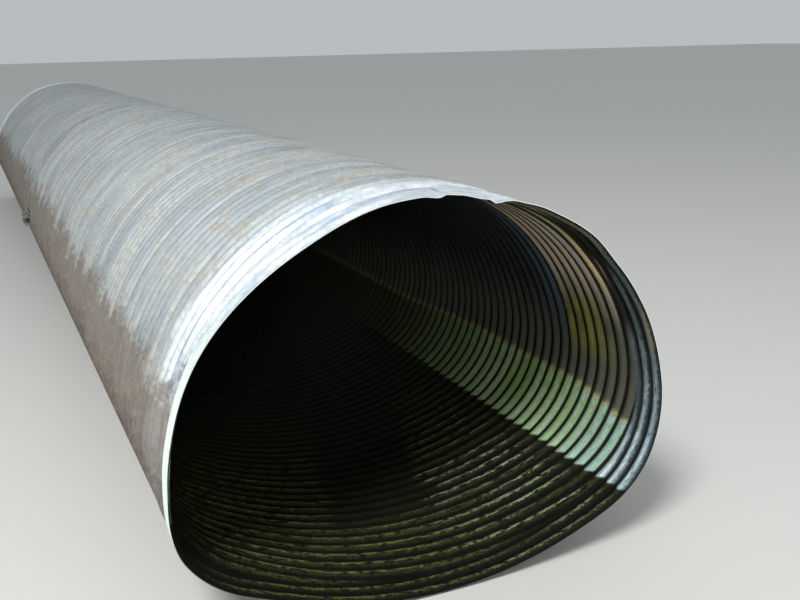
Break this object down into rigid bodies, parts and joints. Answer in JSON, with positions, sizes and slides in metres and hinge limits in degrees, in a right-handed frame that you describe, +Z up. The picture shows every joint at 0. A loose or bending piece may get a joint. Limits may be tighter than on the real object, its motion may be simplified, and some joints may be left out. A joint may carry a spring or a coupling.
{
  "type": "corrugated steel pipe-arch culvert",
  "caption": "Corrugated galvanised steel pipe-arch culvert with re-rolled ring ends and a bolted coupling band, carrying a stream under a road.",
  "frame": {"origin": "under the middle of the culvert, on the lowest outside crest of the corrugation", "axes": "+Y along the pipe from the mouth in the picture to the far mouth, +Z up"},
  "size_m": [2.15, 12.198, 1.5708],
  "materials": {
    "galvanised_wall": "weathered hot-dip galvanised, dull",
    "band_steel": "hot-dip galvanised, dull",
    "bolt_steel": "galvanised, dull"
  },
  "bodies": {
    "root": {"band_left_front_bolt": "bolt_steel", "band_left_lower_angle": "band_steel", "band_left_rear_bolt": "bolt_steel", "band_left_upper_angle": "band_steel", "band_lower_half": "band_steel", "band_right_front_bolt": "bolt_steel", "band_right_lower_angle": "band_steel", "band_right_rear_bolt": "bolt_steel", "band_right_upper_angle": "band_steel", "band_upper_half": "band_steel", "far_crown_centre": "galvanised_wall", "far_crown_left_shoulder": "galvanised_wall", "far_crown_left_side": "galvanised_wall", "far_crown_right_shoulder": "galvanised_wall", "far_crown_right_side": "galvanised_wall", "far_left_corner": "galvanised_wall", "far_left_invert": "galvanised_wall", "far_right_corner": "galvanised_wall", "far_right_invert": "galvanised_wall", "near_crown_centre": "galvanised_wall", "near_crown_left_shoulder": "galvanised_wall", "near_crown_left_side": "galvanised_wall", "near_crown_right_shoulder": "galvanised_wall", "near_crown_right_side": "galvanised_wall", "near_left_corner": "galvanised_wall", "near_left_invert": "galvanised_wall", "near_right_corner": "galvanised_wall", "near_right_invert": "galvanised_wall"}
  },
  "joints": []
}
